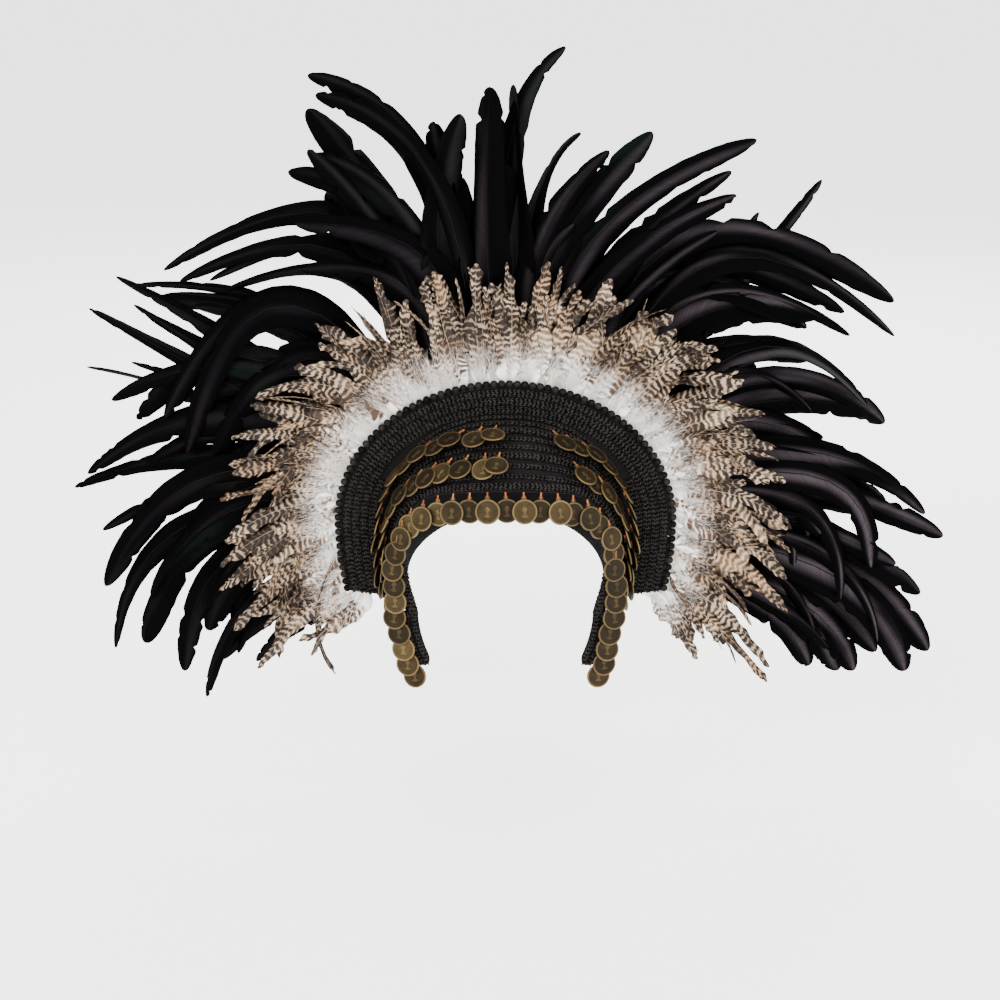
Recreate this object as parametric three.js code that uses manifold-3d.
// A feathered dance headdress. A cloth cap and a stiff crescent, the halo, stand on the head. Rows of
// gimp braid cover the halo, and a band of braids with three rows of brass coins joins it to the brow.
// Barred hackles and a tall fan of black cock tail feathers are sewn behind the halo.
// Millimetres, +Z up, the face looks along -Y. The origin is the point where the crown of the head
// meets the inside of the cap, which is where the headdress sits.
import * as THREE from "three";
import { mergeVertices } from "three/addons/utils/BufferGeometryUtils.js";
import Module from "manifold-3d";

const wasm = await Module();
wasm.setup();

// Driving dimensions: the head that the cap is cut for
const HEAD_HALF_WIDTH = 77;
const HEAD_HALF_LENGTH = 95;
const HEAD_RISE = 106; // from the head's widest level up to its crown
const CLOTH = 2; // wall of the cap, the coin band and the lappets
const GAP = 0.3; // between pieces that are sewn together

// The halo, a flat crescent across the head
const HALO_FRONT = -22; // y of its front face
const HALO_THICK = 3;
const HALO_HALF_WIDTH = 124;
const HALO_LEVEL = -80; // z of its widest level
const HALO_RISE = 105; // from that level to its top edge
const HALO_DROP = 55; // from that level to its ends
const HALO_CURL = 0.95; // share of the half width that is left at the ends
const END_SLOPE = 0.117; // how far the ends slope down towards the head, per millimetre

// Braids
const BRAID_HEIGHT = 2;
const HALO_BRAID_WIDTH = 5.9;
const BRAID_SPACE = 0.4; // between two rows
const EDGE_INSET = 3.4; // from the halo's edge to the first row
const COIN_BRAID_WIDTH = 5.6;
const SCALLOP_PITCH = 5.6;
const SCALLOP_OUT = 3.2; // how far the edging's loops stand past the halo's edge

// Coins
const COIN_RADIUS = 9;
const COIN_THICK = 1.2;
const COIN_PITCH = 12.6;
const LINK_LENGTH = 4.2; // from the thread to the coin's rim
const LINK_WIDTH = 1.4;
const THREAD_RADIUS = 0.7;
const COIN_TILT = THREE.MathUtils.degToRad(9); // how far a coin leans on its neighbours
const COIN_STAGGER = 0.85; // share of the lean by which neighbours in a level row differ from it
const LINK_SEAT = 0.25; // share of the link's thickness that is sunk in the thread
const LOUVRE = 0.3; // how far the side coins of one row turn over those of the next

// The lappets, lace tabs that hang beside the cheeks
const LAPPET_LENGTH = 44; // below the coin band
const LAPPET_INSIDE = 12; // from the line of the coins in to the cheek
const LAPPET_OUTSIDE = 6; // from that line out and back
const LAPPET_INWARD = 12; // how far the lower end hangs in towards the jaw
const LAPPET_CLIMB = 0.14; // how far it climbs inside the coin band's rim, as a share of the rim
const LAPPET_POINT = 0.3; // share of its inside width that is left at the upper end
const LAPPET_CLEAR = 0.6; // from the coin band

// Feathers
const TAPE_WIDTH = 15; // the tape that a strip of feathers is strung on
const TAPE_THICK = 1.5;
const TAPE_INSET = 5.5; // from the halo's edge to the tape
const QUILL_THICK = 1.2;
const HACKLE_REACH = 222; // from the middle of the halo to the longest tip
const HACKLE_WIDTH = 15;
const HACKLE_DEPTH = 2; // from a strip's front layer to its back one, near its root
const COQUE_REACH = 352;
const COQUE_WIDTH = 27;
const COQUE_DEPTH = 5;
const LAYER_RISE = 6; // how fast the layers part beyond the halo: they are apart at 1/6 of the reach
const QUILL_SHARE = 0.18; // width of the bare quill as a share of the vane's
const VANE_FROM = 0.02; // the stretch of the vane's outline that a feather shows
const VANE_TO = 0.97;
const VANE_SKEW = 1.15; // above 1 the widest place is past the middle

// How far the tips of a strip's front and back layers lean back out of the fan
const HACKLE_LEAN = [-22, -5.5];
const COQUE_LEAN = [-18, 11.5];
const COQUE_REAR_LEAN = [15, 46];

const COIN_SIDES = 10;
const CAP_SIDES = 18;
const CAP_RINGS = 10;
const BAND_STEPS = 18;
const BAND_ROWS = 3;
const HALO_STEPS = 22;
const SIDE_STEPS = 6; // along a side row of braid, and along a tape
const HACKLE_STEPS = 2;
const COQUE_STEPS = 3;
const SMALLEST_EDGE = 0.02; // shorter ones are left out where shapes are joined

// Maps a box of nu by nv by nw cells, each coordinate running from 0 to 1, through place(u, v, w).
function bentBox(nu, nv, nw, place) {
  const box = new THREE.BoxGeometry(1, 1, 1, nu, nv, nw);
  const spots = box.getAttribute("position");
  for (let i = 0; i < spots.count; i++) {
    const at = place(spots.getX(i) + 0.5, spots.getY(i) + 0.5, spots.getZ(i) + 0.5);
    spots.setXYZ(i, at.x, at.y, at.z);
  }
  return box;
}

function solidOf(geometry) {
  const bare = geometry.clone();
  bare.deleteAttribute("normal");
  bare.deleteAttribute("uv");
  const merged = mergeVertices(bare, 1e-4);
  const triVerts = new Uint32Array(merged.index.array);
  const vertProperties = merged.getAttribute("position").array;
  const made = new wasm.Manifold(new wasm.Mesh({ numProp: 3, vertProperties, triVerts }));
  if (made.volume() > 0) return made;
  // A mirrored shape has its faces turned round.
  for (let i = 0; i < triVerts.length; i += 3) {
    [triVerts[i + 1], triVerts[i + 2]] = [triVerts[i + 2], triVerts[i + 1]];
  }
  return new wasm.Manifold(new wasm.Mesh({ numProp: 3, vertProperties, triVerts }));
}

function geometryOf(solid) {
  const mesh = solid.getMesh();
  const made = new THREE.BufferGeometry();
  made.setAttribute("position", new THREE.BufferAttribute(mesh.vertProperties, 3));
  made.setIndex(new THREE.BufferAttribute(mesh.triVerts, 1));
  return made;
}

// Joins shapes into one solid. Feathers that cross can close off a small hollow, which is filled.
function fuse(geometries) {
  const joined = geometries.map(solidOf).reduce((all, one) => all.add(one)).simplify(SMALLEST_EDGE);
  return wasm.Manifold.compose(joined.decompose().filter((shell) => shell.volume() > 0));
}

const materials = {
  cloth: { color: 0x0c0b0c, roughness: 0.9, metalness: 0 },
  braid: { color: 0x14120f, roughness: 0.75, metalness: 0 },
  brass: { color: 0x6b5228, roughness: 0.42, metalness: 0.9 },
  hackle: { color: 0xb9a792, roughness: 0.7, metalness: 0 },
  coque: { color: 0x08080a, roughness: 0.4, metalness: 0 },
};

const headdress = new THREE.Group();

function add(name, solid, material) {
  const mesh = new THREE.Mesh(geometryOf(solid), new THREE.MeshStandardMaterial(materials[material]));
  mesh.name = name;
  headdress.add(mesh);
}

// The halo's outline. turn is the angle from its top in radians, and inset how far inside its edge.
const HALO_TURN = Math.PI - Math.asin(HALO_CURL);
const HALO_LOWER_RISE = HALO_DROP / -Math.cos(HALO_TURN);

function haloPoint(turn, inset) {
  const lower = HALO_LOWER_RISE - (inset * END_SLOPE) / Math.cos(HALO_TURN);
  const rise = Math.cos(turn) > 0 ? HALO_RISE - inset : lower;
  return new THREE.Vector2((HALO_HALF_WIDTH - inset) * Math.sin(turn), HALO_LEVEL + rise * Math.cos(turn));
}

const HALO_BACK = HALO_FRONT + HALO_THICK;
const headShare = (y, grown) => Math.sqrt(1 - (y / (HEAD_HALF_LENGTH + grown)) ** 2);

function makeHalo() {
  const share = headShare(HALO_BACK, 0);
  const halfWidth = HEAD_HALF_WIDTH * share;
  const end = haloPoint(HALO_TURN, HALO_HALF_WIDTH - halfWidth).y;
  const outline = new THREE.Shape();
  outline.moveTo(halfWidth, end);
  for (let i = 0; i <= HALO_STEPS; i++) {
    const spot = haloPoint(HALO_TURN * (1 - (2 * i) / HALO_STEPS), 0);
    outline.lineTo(spot.x, spot.y);
  }
  outline.lineTo(-halfWidth, end);
  outline.lineTo(-halfWidth, -HEAD_RISE);
  outline.absellipse(0, -HEAD_RISE, halfWidth, HEAD_RISE * share, Math.PI, 0, true);
  const plate = new THREE.ExtrudeGeometry(outline, {
    depth: HALO_THICK, bevelEnabled: false, curveSegments: HALO_STEPS / 2,
  });
  plate.rotateX(Math.PI / 2).translate(0, HALO_BACK, 0);
  add("halo", solidOf(plate), "cloth");
}

const CAP_HEM_RISE = 22; // how far the hem rises from the halo to the nape

function makeCap() {
  const shell = (grown) =>
    new THREE.SphereGeometry(1, CAP_SIDES, CAP_RINGS)
      .rotateX(Math.PI / 2)
      .scale(HEAD_HALF_WIDTH + grown, HEAD_HALF_LENGTH + grown, HEAD_RISE + grown)
      .translate(0, 0, -HEAD_RISE);
  // The side view of what is kept: behind the halo, and above a hem that rises to the nape.
  const far = 2 * HEAD_HALF_LENGTH;
  const front = HALO_BACK + GAP;
  const hemFront = HALO_LEVEL - HALO_DROP;
  const kept = new THREE.Shape([
    new THREE.Vector2(front, hemFront),
    new THREE.Vector2(front, far),
    new THREE.Vector2(far, far),
    new THREE.Vector2(far, hemFront + 2 * CAP_HEM_RISE),
  ]);
  const block = new THREE.ExtrudeGeometry(kept, { depth: 2 * far, bevelEnabled: false });
  block.rotateX(Math.PI / 2).rotateZ(Math.PI / 2).translate(-far, 0, 0);
  add("cap", solidOf(shell(CLOTH)).subtract(solidOf(shell(0))).intersect(solidOf(block)), "cloth");
}

// One row of gimp braid on the halo
function haloBraid(inset, from, to, steps) {
  return bentBox(steps, 1, 1, (u, v, w) => {
    const spot = haloPoint(from + (to - from) * u, inset + HALO_BRAID_WIDTH * v);
    return new THREE.Vector3(spot.x, HALO_FRONT - GAP - BRAID_HEIGHT * w, spot.y);
  });
}

const FULL_ROWS = 3; // rows that pass over the top; one more runs down each side
const SIDE_ROW_FROM = THREE.MathUtils.degToRad(66);

function makeHaloBraids() {
  const inset = (row) => EDGE_INSET + row * (HALO_BRAID_WIDTH + BRAID_SPACE);
  for (let row = 0; row < FULL_ROWS; row++) {
    add(`halo_braid_${row + 1}`, solidOf(haloBraid(inset(row), -HALO_TURN, HALO_TURN, HALO_STEPS)), "braid");
  }
  for (const [side, sign] of [["left", -1], ["right", 1]]) {
    const row = haloBraid(inset(FULL_ROWS), sign * SIDE_ROW_FROM, sign * HALO_TURN, SIDE_STEPS);
    add(`halo_braid_side_${side}`, solidOf(row), "braid");
  }
}

// The edging's round loops stand past the halo's edge, at an even pitch along it.
function makeScallops() {
  const middle = new THREE.CatmullRomCurve3(
    Array.from({ length: 4 * HALO_STEPS + 1 }, (_, i) => {
      const spot = haloPoint(HALO_TURN * (i / (2 * HALO_STEPS) - 1), 0);
      return new THREE.Vector3(spot.x, spot.y, 0);
    }),
  );
  const loops = Math.round(middle.getLength() / SCALLOP_PITCH);
  const radius = middle.getLength() / loops / 2;
  const outline = [];
  for (let i = 0; i < loops; i++) {
    const spot = middle.getPointAt((i + 0.5) / loops);
    const along = middle.getTangentAt((i + 0.5) / loops);
    const out = new THREE.Vector3(-along.y, along.x, 0);
    for (const turn of [-Math.PI / 2, 0]) {
      const point = spot.clone().addScaledVector(along, radius * Math.sin(turn));
      point.addScaledVector(out, SCALLOP_OUT - radius + radius * Math.cos(turn));
      outline.push(new THREE.Vector2(point.x, point.y));
    }
  }
  for (let i = 0; i <= HALO_STEPS; i++) {
    outline.push(haloPoint(HALO_TURN * (1 - (2 * i) / HALO_STEPS), EDGE_INSET - BRAID_SPACE));
  }
  const shape = new THREE.Shape(outline);
  const trim = new THREE.ExtrudeGeometry(shape, { depth: BRAID_HEIGHT, bevelEnabled: false });
  trim.rotateX(Math.PI / 2).translate(0, HALO_FRONT - GAP, 0);
  add("scallop_edge", solidOf(trim), "braid");
}

// The coin band from the jaw to the middle of the brow. Its free rim is given in shares of the head's
// half width, half length and rise, its seam on the halo in shares of the half width and the rise, and
// yaw is how far the brow coins turn from the front, in degrees.
const BAND_STATIONS = [
  { rimX: 0.99, rimY: -0.56, rimZ: -1.3, seamX: 1.11, seamZ: -1.32, yaw: 18 },
  { rimX: 1.03, rimY: -0.56, rimZ: -1.06, seamX: 1.15, seamZ: -1.05, yaw: 20 },
  { rimX: 1.01, rimY: -0.56, rimZ: -0.81, seamX: 1.15, seamZ: -0.74, yaw: 27 },
  { rimX: 0.92, rimY: -0.56, rimZ: -0.6, seamX: 1.02, seamZ: -0.39, yaw: 34 },
  { rimX: 0.7, rimY: -0.63, rimZ: -0.46, seamX: 0.72, seamZ: -0.13, yaw: 30 },
  { rimX: 0.34, rimY: -0.77, rimZ: -0.39, seamX: 0.35, seamZ: -0.01, yaw: 15 },
  { rimX: 0, rimY: -0.82, rimZ: -0.37, seamX: 0, seamZ: 0.015, yaw: 0 },
];
const BAND_BULGE = 5; // how far the middle of the band stands off a straight line, at the brow

const mirrored = (stations, point) => [
  ...stations.map((s) => point(s, -1)),
  ...stations.slice(0, -1).reverse().map((s) => point(s, 1)),
];
const SEAM_Y = HALO_FRONT - GAP - CLOTH;
const rimPoint = (s, sign) =>
  new THREE.Vector3(sign * s.rimX * HEAD_HALF_WIDTH, s.rimY * HEAD_HALF_LENGTH, s.rimZ * HEAD_RISE);
const seamPoint = (s, sign) =>
  new THREE.Vector3(sign * s.seamX * HEAD_HALF_WIDTH, SEAM_Y, s.seamZ * HEAD_RISE);
const rimCurve = new THREE.CatmullRomCurve3(mirrored(BAND_STATIONS, rimPoint));
const seamCurve = new THREE.CatmullRomCurve3(mirrored(BAND_STATIONS, seamPoint));

function bandWidth(u) {
  return rimCurve.getPoint(u).distanceTo(seamCurve.getPoint(u));
}

function bandMiddle(u, v) {
  const point = rimCurve.getPoint(u).lerp(seamCurve.getPoint(u), v);
  const along = rimCurve.getTangent(u);
  const across = seamCurve.getPoint(u).sub(rimCurve.getPoint(u)).normalize();
  const out = along.clone().cross(across).normalize();
  return point.addScaledVector(out, BAND_BULGE * Math.sin(Math.PI * u) ** 2 * 4 * v * (1 - v));
}

function bandNormal(u, v) {
  const step = 1e-3;
  const along = bandMiddle(Math.min(u + step, 1), v).sub(bandMiddle(Math.max(u - step, 0), v));
  const across = bandMiddle(u, v + step).sub(bandMiddle(u, v - step));
  return along.cross(across).normalize();
}

const bandPoint = (u, v, lift) => bandMiddle(u, v).addScaledVector(bandNormal(u, v), lift);

function makeCoinBand() {
  const band = bentBox(BAND_STEPS, BAND_ROWS, 1, (u, v, w) => bandPoint(u, v, -CLOTH * w));
  add("coin_band", solidOf(band), "cloth");
}

// The braids that the coins hang from. middle is the row's share of the way from the rim to the seam.
const COIN_BRAIDS = [
  { name: "brow_braid", middle: 0, shift: 0.55 },
  { name: "middle_braid", middle: 0.4, shift: 0 },
  { name: "crown_braid", middle: 0.74, shift: 0 },
];

function makeCoinBraids() {
  for (const { name, middle, shift } of COIN_BRAIDS) {
    const row = bentBox(BAND_STEPS, 1, 1, (u, v, w) => {
      const across = middle + ((v - 0.5 + shift) * COIN_BRAID_WIDTH) / bandWidth(u);
      return bandPoint(u, across, GAP + BRAID_HEIGHT * w);
    });
    add(name, solidOf(row), "braid");
  }
}

// A lappet faces the way that its coins do. Its upper part narrows inside the coin band's rim.
function makeLappets() {
  const top = BAND_STATIONS[0];
  const yaw = THREE.MathUtils.degToRad(top.yaw);
  const beside = CLOTH + LAPPET_CLEAR; // from the line of the coins to the climbing part
  for (const [side, sign] of [["left", -1], ["right", 1]]) {
    const inward = new THREE.Vector3(-sign * Math.cos(yaw), -Math.sin(yaw), 0);
    const face = new THREE.Vector3(sign * Math.sin(yaw), -Math.cos(yaw), 0);
    const spot = (from, across, w) => {
      return from.clone().addScaledVector(inward, across).addScaledVector(face, -CLOTH * w);
    };
    const hung = (drop) => {
      const point = rimPoint(top, sign);
      point.x -= sign * LAPPET_INWARD * (drop / LAPPET_LENGTH) ** 2;
      point.z -= drop;
      return point;
    };
    const tab = bentBox(1, 3, 1, (u, v, w) => {
      const drop = LAPPET_CLEAR + (LAPPET_LENGTH - LAPPET_CLEAR) * v;
      return spot(hung(drop), LAPPET_INSIDE - (LAPPET_INSIDE + LAPPET_OUTSIDE) * u, w);
    });
    const climb = bentBox(1, 4, 1, (u, v, w) => {
      const share = (LAPPET_CLIMB * (4 * v - 1)) / 3;
      const from = v > 0 ? rimCurve.getPoint(sign < 0 ? share : 1 - share) : hung(2 * CLOTH);
      const width = (LAPPET_INSIDE - beside) * (v > 0 ? 1 - ((1 - LAPPET_POINT) * share) / LAPPET_CLIMB : 1);
      return spot(from, beside + width * (1 - u), w);
    });
    add(`lappet_${side}`, fuse([tab, climb]), "cloth");
  }
}

// A coin with the flat link above it, as it hangs from a thread at the origin
const coinOutline = new THREE.Shape();
const linkTurn = Math.asin(LINK_WIDTH / 2 / COIN_RADIUS);
coinOutline.moveTo(LINK_WIDTH / 2, THREAD_RADIUS / 2);
coinOutline.lineTo(-LINK_WIDTH / 2, THREAD_RADIUS / 2);
for (let i = 0; i < COIN_SIDES; i++) {
  const turn = linkTurn + ((2 * Math.PI - 2 * linkTurn) * i) / (COIN_SIDES - 1);
  const drop = LINK_LENGTH + COIN_RADIUS * (1 - Math.cos(turn));
  coinOutline.lineTo(-COIN_RADIUS * Math.sin(turn), -drop);
}
const coinPlate = new THREE.ExtrudeGeometry(coinOutline, { depth: COIN_THICK, bevelEnabled: false });
coinPlate.translate(0, 0, -COIN_THICK / 2);

// A row of coins on a thread, which bends half way between them. hooks is a list of places on the
// thread, each with the way its coin faces. Where the row is level every second coin lies over its
// neighbours, and where it is steep each coin lies over the next.
function coinRow(hooks) {
  const last = hooks.length - 1;
  const alongAt = (i) => {
    return hooks[Math.min(i + 1, last)].at.clone().sub(hooks[Math.max(i - 1, 0)].at).normalize();
  };
  const bends = hooks.slice(1).map((hook, i) => hook.at.clone().lerp(hooks[i].at, 0.5));
  bends.unshift(hooks[0].at.clone().addScaledVector(alongAt(0), -LINK_WIDTH));
  bends.push(hooks[last].at.clone().addScaledVector(alongAt(last), LINK_WIDTH));
  const thread = bentBox(last + 1, 1, 1, (u, v, w) => {
    const i = Math.round(u * (last + 1));
    const { face } = hooks[Math.min(i, last)];
    const across = face.clone().cross(alongAt(Math.min(i, last))).normalize();
    const spot = bends[i].clone().addScaledVector(face, (2 * v - 1) * THREAD_RADIUS);
    return spot.addScaledVector(across, (2 * w - 1) * THREAD_RADIUS);
  });
  const coins = hooks.map(({ face }, i) => {
    const down = new THREE.Vector3(0, 0, -1).projectOnPlane(face).normalize();
    const steep = Math.abs(down.dot(alongAt(i)));
    const tilt = COIN_TILT * (1 + (i % 2 ? 1 : -1) * (1 - steep) * COIN_STAGGER);
    const right = face.clone().cross(down).normalize();
    const hook = bends[i].clone().lerp(bends[i + 1], 0.5);
    hook.addScaledVector(face, THREAD_RADIUS + (0.5 - LINK_SEAT) * COIN_THICK);
    const turn = new THREE.Matrix4().makeBasis(right, down.clone().negate(), face);
    turn.multiply(new THREE.Matrix4().makeRotationX(-tilt)).setPosition(hook);
    return coinPlate.clone().applyMatrix4(turn);
  });
  return fuse([thread, ...coins]);
}

const THREAD_LIFT = GAP + BRAID_HEIGHT + GAP + THREAD_RADIUS;
const LAPPET_HOOKS = [0.9, 0.45]; // shares of the lappet's length

function makeBrowCoins() {
  const top = BAND_STATIONS[0];
  const tabHooks = LAPPET_HOOKS.map((share) => ({
    rimX: top.rimX - (LAPPET_INWARD * share * share) / HEAD_HALF_WIDTH,
    rimY: top.rimY,
    rimZ: top.rimZ - (LAPPET_LENGTH * share) / HEAD_RISE,
    yaw: top.yaw,
  }));
  const stations = [...tabHooks, ...BAND_STATIONS];
  const line = new THREE.CatmullRomCurve3(mirrored(stations, rimPoint));
  const yaws = new THREE.CatmullRomCurve3(
    mirrored(stations, (s, sign) => new THREE.Vector3(THREE.MathUtils.degToRad(sign * s.yaw), 0, 0)),
  );
  const count = Math.round(line.getLength() / COIN_PITCH) + 1;
  const hooks = Array.from({ length: count }, (_, i) => {
    const t = line.getUtoTmapping(i / (count - 1));
    const yaw = yaws.getPoint(t).x;
    const face = new THREE.Vector3(Math.sin(yaw), -Math.cos(yaw), 0);
    return { at: line.getPoint(t).addScaledVector(face, THREAD_LIFT), face };
  });
  add("brow_coins", coinRow(hooks), "brass");
}

// The two upper rows stop short of the middle, and lie on the band. jaw and brow are a row's first and
// last places as shares of the way from its own jaw to the other, and brow differs from side to side.
const UPPER_ROWS = [
  { name: "middle_coins", across: 0.4, lift: 0.3, jaw: 0.05, brow: { left: 0.495, right: 0.37 } },
  { name: "crown_coins", across: 0.74, lift: 1.9, jaw: 0.065, brow: { left: 0.488, right: 0.41 } },
];

function makeUpperCoins() {
  for (const { name, across, lift, jaw, brow: brows } of UPPER_ROWS) {
    for (const [side, mirror] of [["left", (u) => u], ["right", (u) => 1 - u]]) {
      const brow = brows[side];
      const line = new THREE.CatmullRomCurve3(
        Array.from({ length: BAND_STEPS + 1 }, (_, i) => {
          return bandPoint(mirror(jaw + ((brow - jaw) * i) / BAND_STEPS), across, THREAD_LIFT + lift);
        }),
      );
      const count = Math.round(line.getLength() / COIN_PITCH) + 1;
      const hooks = Array.from({ length: count }, (_, i) => {
        const t = line.getUtoTmapping(i / (count - 1));
        const u = mirror(jaw + (brow - jaw) * t);
        const face = bandNormal(u, across);
        const level = new THREE.Vector3(face.y, -face.x, 0).normalize();
        const outward = seamCurve.getPoint(u).sub(rimCurve.getPoint(u)).normalize();
        face.addScaledVector(level, LOUVRE * outward.dot(level)).normalize();
        return { at: line.getPoint(t), face };
      });
      add(`${name}_${side}`, coinRow(hooks), "brass");
    }
  }
}

// A strip of feathers on its tape. A feather's root and tip are angles from the top in degrees, reach
// is the tip's distance from the middle of the halo as a share of the strip's reach, bow the height of
// its arch as a share of its length, hook how far along it the arch peaks, width a share of the strip's
// width, and layer its place from the front of the strip, 0, to the back, 1. lean holds how far back the
// tips of those two layers lean.
function featherStrip({ feathers, from, to, tapeFront, tapeThick, reach, width, lean, depth, steps }) {
  const radians = THREE.MathUtils.degToRad;
  const bare = HALO_HALF_WIDTH - TAPE_INSET; // the feathers lie flat as far out as this
  const tape = bentBox(SIDE_STEPS, 1, 1, (u, v, w) => {
    const spot = haloPoint(radians(from + (to - from) * u), TAPE_INSET + TAPE_WIDTH * v);
    return new THREE.Vector3(spot.x, tapeFront + tapeThick * w, spot.y);
  });
  const blades = feathers.map((feather) => {
    const start = haloPoint(radians(feather.root), TAPE_INSET + TAPE_WIDTH / 2);
    const tipTurn = radians(feather.tip);
    const end = new THREE.Vector2(Math.sin(tipTurn), Math.cos(tipTurn)).multiplyScalar(reach * feather.reach);
    end.y += HALO_LEVEL;
    const chord = end.clone().sub(start);
    const side = new THREE.Vector2(-chord.y, chord.x);
    const bend = start.clone().lerp(end, feather.hook ?? 0.5).addScaledVector(side, -2 * feather.bow);
    const spine = new THREE.QuadraticBezierCurve(start, bend, end);
    return bentBox(1, steps, 1, (u, v, w) => {
      const spot = spine.getPoint(v);
      const heading = spine.getTangent(v);
      const half = 0.5 * width * feather.width * vaneShape(v);
      spot.add(new THREE.Vector2(-heading.y, heading.x).multiplyScalar(half * (2 * u - 1)));
      const out = Math.max(0, Math.hypot(spot.x, spot.y - HALO_LEVEL) - bare) / (reach - bare);
      const back = THREE.MathUtils.lerp(...lean, feather.layer) * out * out;
      const behind = depth * feather.layer * Math.min(1, LAYER_RISE * out);
      const y = tapeFront + tapeThick + QUILL_THICK * (w - 0.5) + behind + back;
      return new THREE.Vector3(spot.x, y, spot.y);
    });
  });
  return fuse([tape, ...blades]);
}

// A vane's width along the feather: a bare quill, its widest stretch past the middle, a narrow tip
function vaneShape(along) {
  const share = VANE_FROM + (VANE_TO - VANE_FROM) * along;
  return QUILL_SHARE + (1 - QUILL_SHARE) * Math.sin(Math.PI * share ** VANE_SKEW);
}

const HACKLE_STRIPS = {
  hackles_left: {
    from: -107, to: -50.5,
    feathers: [
      { root: -106, tip: -126, reach: 0.82, bow: 0.05, width: 0.9, layer: 0.4 },
      { root: -104, tip: -121, reach: 0.98, bow: 0.06, width: 0.8, layer: 0.1 },
      { root: -101, tip: -117, reach: 0.86, bow: 0.08, width: 1, layer: 0.7 },
      { root: -97, tip: -112, reach: 0.99, bow: 0.08, width: 1, layer: 0.3 },
      { root: -92, tip: -104, reach: 1, bow: 0.08, width: 0.9, layer: 0.8 },
      { root: -87, tip: -99, reach: 0.97, bow: 0.1, width: 1, layer: 0.5 },
      { root: -82, tip: -93, reach: 0.93, bow: 0.1, width: 1.1, layer: 0.1 },
      { root: -77, tip: -86, reach: 0.96, bow: 0.1, width: 1, layer: 0.6 },
      { root: -71, tip: -79, reach: 0.92, bow: 0.1, width: 1, layer: 0.2 },
      { root: -65, tip: -72, reach: 0.95, bow: 0.1, width: 0.9, layer: 0.7 },
      { root: -59, tip: -64, reach: 0.93, bow: 0.08, width: 1, layer: 0.4 },
    ],
  },
  hackles_crown: {
    from: -49.5, to: 49.5,
    feathers: [
      { root: -47, tip: -52, reach: 0.87, bow: 0.1, width: 1, layer: 0.1 },
      { root: -41, tip: -45, reach: 0.86, bow: 0.08, width: 1, layer: 0.6 },
      { root: -35, tip: -37, reach: 0.86, bow: 0.06, width: 1, layer: 0.3 },
      { root: -28, tip: -27, reach: 0.93, bow: -0.04, width: 0.8, layer: 0.8 },
      { root: -21, tip: -18, reach: 0.86, bow: 0.04, width: 1, layer: 0.2 },
      { root: -14, tip: -11, reach: 0.84, bow: 0.04, width: 1, layer: 0.7 },
      { root: -7, tip: -6, reach: 0.88, bow: -0.04, width: 1, layer: 0.4 },
      { root: 0, tip: 1, reach: 0.84, bow: 0.03, width: 1.1, layer: 0 },
      { root: 7, tip: 9, reach: 0.89, bow: -0.04, width: 0.9, layer: 0.6 },
      { root: 14, tip: 17, reach: 0.82, bow: -0.04, width: 1.1, layer: 0.3 },
      { root: 21, tip: 25, reach: 0.84, bow: -0.06, width: 1, layer: 0.8 },
      { root: 28, tip: 33, reach: 0.85, bow: -0.08, width: 1, layer: 0.1 },
      { root: 35, tip: 40, reach: 0.86, bow: -0.08, width: 1, layer: 0.5 },
      { root: 44, tip: 49, reach: 0.88, bow: -0.1, width: 1, layer: 0.2 },
    ],
  },
  hackles_right: {
    from: 50.5, to: 107,
    feathers: [
      { root: 53, tip: 58, reach: 0.92, bow: -0.08, width: 1, layer: 0.6 },
      { root: 59, tip: 66, reach: 0.93, bow: -0.1, width: 1, layer: 0.2 },
      { root: 65, tip: 74, reach: 0.92, bow: -0.1, width: 1.1, layer: 0.7 },
      { root: 71, tip: 81, reach: 0.94, bow: -0.1, width: 1, layer: 0.4 },
      { root: 77, tip: 89, reach: 0.94, bow: -0.1, width: 1, layer: 0.1 },
      { root: 82, tip: 96, reach: 0.96, bow: -0.1, width: 1.1, layer: 0.5 },
      { root: 87, tip: 102, reach: 0.97, bow: -0.1, width: 1, layer: 0.8 },
      { root: 92, tip: 108, reach: 1, bow: -0.08, width: 0.9, layer: 0.3 },
      { root: 97, tip: 114, reach: 0.92, bow: -0.08, width: 1, layer: 0.6 },
      { root: 101, tip: 119, reach: 1.02, bow: -0.06, width: 0.9, layer: 0.2 },
      { root: 104, tip: 122, reach: 1.05, bow: -0.04, width: 0.8, layer: 0.5 },
      { root: 106, tip: 127, reach: 0.82, bow: -0.05, width: 0.9, layer: 0.1 },
    ],
  },
};

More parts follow.
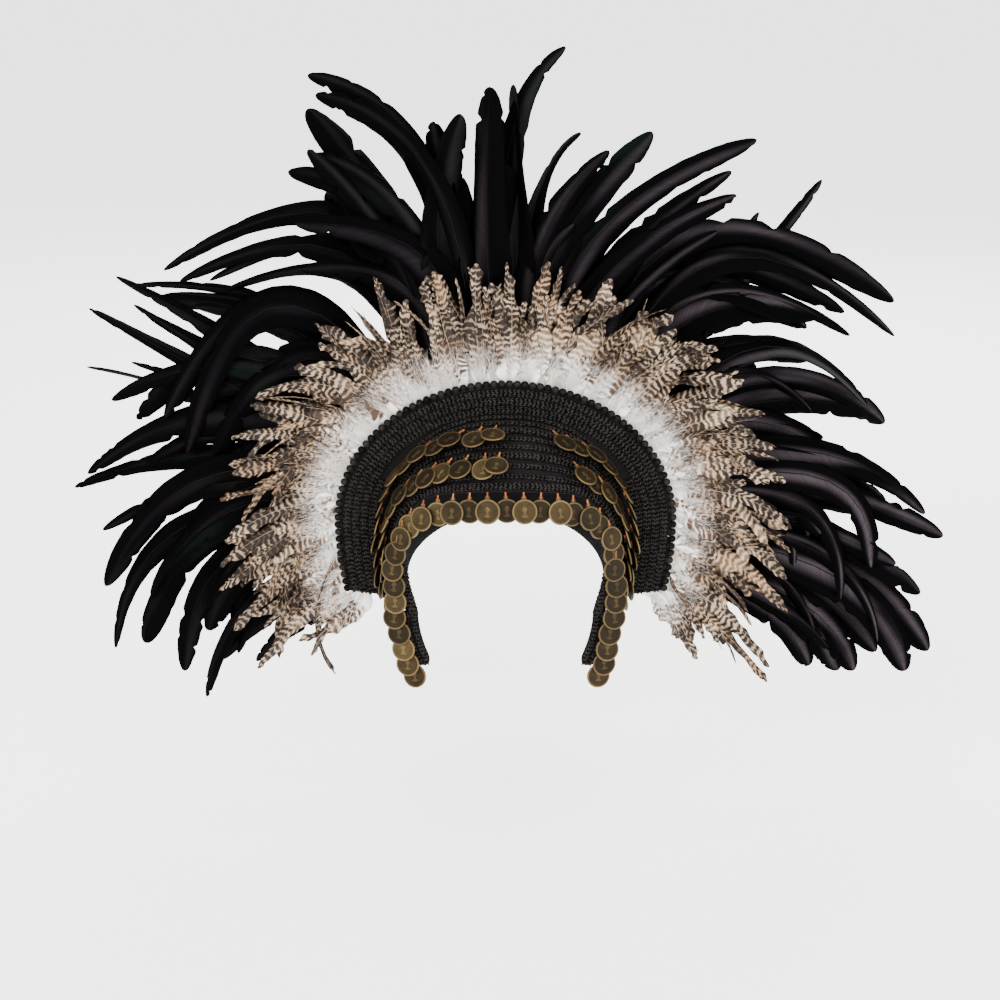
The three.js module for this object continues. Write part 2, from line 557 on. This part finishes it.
const COQUE_STRIPS = {
  coque_left_low: {
    from: -107, to: -74.5,
    feathers: [
      { root: -105, tip: -118, reach: 0.7, bow: 0.1, hook: 0.5, width: 0.8, layer: 0.6 },
      { root: -100, tip: -122, reach: 0.77, bow: 0.18, hook: 0.5, width: 0.6, layer: 0.2 },
      { root: -96, tip: -117, reach: 0.79, bow: 0.28, hook: 0.5, width: 1, layer: 0.7 },
      { root: -91, tip: -110, reach: 0.83, bow: 0.24, hook: 0.5, width: 0.95, layer: 0.4 },
      { root: -87, tip: -110, reach: 0.91, bow: 0.25, hook: 0.6, width: 0.85, layer: 0.9 },
      { root: -83, tip: -103, reach: 0.78, bow: 0.2, hook: 0.5, width: 0.9, layer: 0.1 },
      { root: -80, tip: -92, reach: 0.86, bow: 0.12, hook: 0.5, width: 0.8, layer: 0.6 },
      { root: -78, tip: -100, reach: 0.87, bow: 0.25, hook: 0.5, width: 1.1, layer: 0.3 },
    ],
  },
  coque_left_high: {
    from: -73.5, to: -30.5,
    feathers: [
      { root: -71, tip: -88, reach: 0.94, bow: 0.1, hook: 0.5, width: 0.8, layer: 0.7 },
      { root: -67, tip: -85, reach: 0.9, bow: 0.2, hook: 0.5, width: 1.1, layer: 0.2 },
      { root: -64, tip: -72, reach: 0.95, bow: 0.05, hook: 0.5, width: 0.5, layer: 0.9 },
      { root: -61, tip: -64, reach: 0.98, bow: 0, hook: 0.5, width: 0.6, layer: 0.5 },
      { root: -58, tip: -74, reach: 0.87, bow: 0.22, hook: 0.5, width: 0.7, layer: 0.3 },
      { root: -57, tip: -59, reach: 0.96, bow: 0.04, hook: 0.5, width: 0.7, layer: 0.8 },
      { root: -54, tip: -76, reach: 0.81, bow: 0.3, hook: 0.6, width: 1, layer: 0.6 },
      { root: -49, tip: -79, reach: 0.63, bow: 0.42, hook: 0.5, width: 1.1, layer: 0 },
      { root: -46, tip: -59, reach: 0.87, bow: 0.16, hook: 0.5, width: 0.8, layer: 0.9 },
      { root: -41, tip: -59, reach: 0.93, bow: 0.18, hook: 0.4, width: 0.5, layer: 0.7 },
      { root: -38, tip: -74, reach: 0.75, bow: 0.48, hook: 0.5, width: 1, layer: 0.2 },
      { root: -36, tip: -54, reach: 0.84, bow: 0.4, hook: 0.5, width: 0.9, layer: 0.5 },
      { root: -34, tip: -79, reach: 0.69, bow: 0.55, hook: 0.5, width: 1, layer: 0.1 },
      { root: -32, tip: -54, reach: 0.88, bow: 0.46, hook: 0.5, width: 0.9, layer: 0.4 },
    ],
  },
  coque_crown: {
    from: -29.5, to: 24.5,
    feathers: [
      { root: -26, tip: -27, reach: 0.87, bow: 0.1, hook: 0.5, width: 0.9, layer: 0.3 },
      { root: -24, tip: -34, reach: 0.76, bow: 0.34, hook: 0.5, width: 1, layer: 0.1 },
      { root: -22, tip: -31, reach: 0.85, bow: 0.2, hook: 0.7, width: 0.9, layer: 0.6 },
      { root: -18, tip: -25, reach: 0.94, bow: 0.08, hook: 0.5, width: 1.2, layer: 0.8 },
      { root: -15, tip: -23, reach: 0.96, bow: 0.2, hook: 0.7, width: 0.9, layer: 0.2 },
      { root: -12, tip: -23, reach: 1, bow: 0.17, hook: 0.75, width: 0.8, layer: 0.5 },
      { root: -11, tip: -10, reach: 0.84, bow: 0.03, hook: 0.5, width: 0.9, layer: 0.9 },
      { root: -8, tip: -6, reach: 0.85, bow: -0.12, hook: 0.5, width: 1.2, layer: 0.4 },
      { root: -3, tip: -2, reach: 0.9, bow: -0.02, hook: 0.5, width: 1.2, layer: 0.1 },
      { root: 1, tip: 1, reach: 0.9, bow: 0.02, hook: 0.5, width: 1.2, layer: 0.7 },
      { root: 4, tip: 7, reach: 0.98, bow: -0.12, hook: 0.8, width: 0.8, layer: 0.9 },
      { root: 10, tip: 15, reach: 0.8, bow: -0.14, hook: 0.6, width: 1.1, layer: 0.3 },
      { root: 14, tip: 20, reach: 0.86, bow: -0.15, hook: 0.4, width: 0.9, layer: 0.6 },
      { root: 18, tip: 32, reach: 0.94, bow: -0.2, hook: 0.4, width: 0.9, layer: 0.2 },
      { root: 22, tip: 32, reach: 0.86, bow: -0.13, hook: 0.5, width: 1.1, layer: 0.8 },
    ],
  },
  coque_right_high: {
    from: 25.5, to: 71.5,
    feathers: [
      { root: 28, tip: 61, reach: 0.93, bow: -0.38, hook: 0.45, width: 0.9, layer: 0.3 },
      { root: 32, tip: 59, reach: 0.83, bow: -0.38, hook: 0.4, width: 0.9, layer: 0.6 },
      { root: 37, tip: 65, reach: 0.9, bow: -0.4, hook: 0.5, width: 0.9, layer: 0.1 },
      { root: 42, tip: 49, reach: 0.68, bow: -0.12, hook: 0.5, width: 1, layer: 0.8 },
      { root: 46, tip: 43.5, reach: 0.96, bow: 0, hook: 0.5, width: 0.5, layer: 0.9 },
      { root: 49, tip: 57, reach: 0.78, bow: -0.28, hook: 0.5, width: 1.2, layer: 0.4 },
      { root: 53, tip: 63, reach: 0.73, bow: -0.24, hook: 0.5, width: 1.2, layer: 0.7 },
      { root: 57, tip: 73, reach: 0.8, bow: -0.33, hook: 0.65, width: 0.8, layer: 0.2 },
      { root: 61, tip: 77, reach: 0.83, bow: -0.24, hook: 0.55, width: 1.1, layer: 0.5 },
      { root: 65, tip: 75, reach: 0.8, bow: -0.16, hook: 0.5, width: 1, layer: 0.8 },
      { root: 68, tip: 91, reach: 0.91, bow: -0.16, hook: 0.6, width: 1, layer: 0.3 },
    ],
  },
  coque_right_low: {
    from: 72.5, to: 107,
    feathers: [
      { root: 76, tip: 93, reach: 0.67, bow: -0.2, hook: 0.5, width: 1, layer: 0.1 },
      { root: 79, tip: 98, reach: 0.79, bow: -0.3, hook: 0.8, width: 0.9, layer: 0.3 },
      { root: 81, tip: 104, reach: 0.74, bow: -0.3, hook: 0.7, width: 0.8, layer: 0 },
      { root: 85, tip: 101, reach: 0.91, bow: -0.1, hook: 0.5, width: 1, layer: 0.6 },
      { root: 83, tip: 93, reach: 0.94, bow: -0.1, hook: 0.5, width: 1, layer: 0.8 },
      { root: 87, tip: 97, reach: 0.84, bow: -0.08, hook: 0.5, width: 0.9, layer: 0.4 },
      { root: 89, tip: 109, reach: 0.98, bow: -0.12, hook: 0.6, width: 1.1, layer: 0.9 },
      { root: 91, tip: 109, reach: 0.85, bow: -0.2, hook: 0.7, width: 0.6, layer: 0.2 },
      { root: 94, tip: 112, reach: 0.94, bow: -0.17, hook: 0.7, width: 1.1, layer: 0.5 },
      { root: 98, tip: 115, reach: 0.84, bow: -0.13, hook: 0.7, width: 1, layer: 0.7 },
      { root: 102, tip: 113, reach: 0.76, bow: -0.09, hook: 0.5, width: 1, layer: 0.3 },
    ],
  },
};

function makeFeathers() {
  const hackleTape = HALO_BACK + GAP;
  const coqueTape = hackleTape + TAPE_THICK + QUILL_THICK / 2 + GAP;
  const step = COQUE_DEPTH + QUILL_THICK + GAP; // from a front strip's feathers back to a rear strip's
  for (const [name, strip] of Object.entries(HACKLE_STRIPS)) {
    const solid = featherStrip({
      ...strip, tapeFront: hackleTape, tapeThick: TAPE_THICK, reach: HACKLE_REACH, width: HACKLE_WIDTH,
      lean: HACKLE_LEAN, depth: HACKLE_DEPTH, steps: HACKLE_STEPS,
    });
    add(name, solid, "hackle");
  }
  // These tapes are thick enough to hold the feathers clear of the hackles, and every second one thicker
  // still, so that its feathers pass behind its neighbours'.
  Object.entries(COQUE_STRIPS).forEach(([name, strip], i) => {
    const rear = i % 2;
    const tapeThick = HACKLE_DEPTH + TAPE_THICK + step * rear;
    const solid = featherStrip({
      ...strip, tapeFront: coqueTape, tapeThick, reach: COQUE_REACH, width: COQUE_WIDTH,
      lean: rear ? COQUE_REAR_LEAN : COQUE_LEAN, depth: COQUE_DEPTH, steps: COQUE_STEPS,
    });
    add(name, solid, "coque");
  });
}

makeCap();
makeHalo();
makeHaloBraids();
makeScallops();
makeCoinBand();
makeCoinBraids();
makeLappets();
makeBrowCoins();
makeUpperCoins();
makeFeathers();

export default headdress;
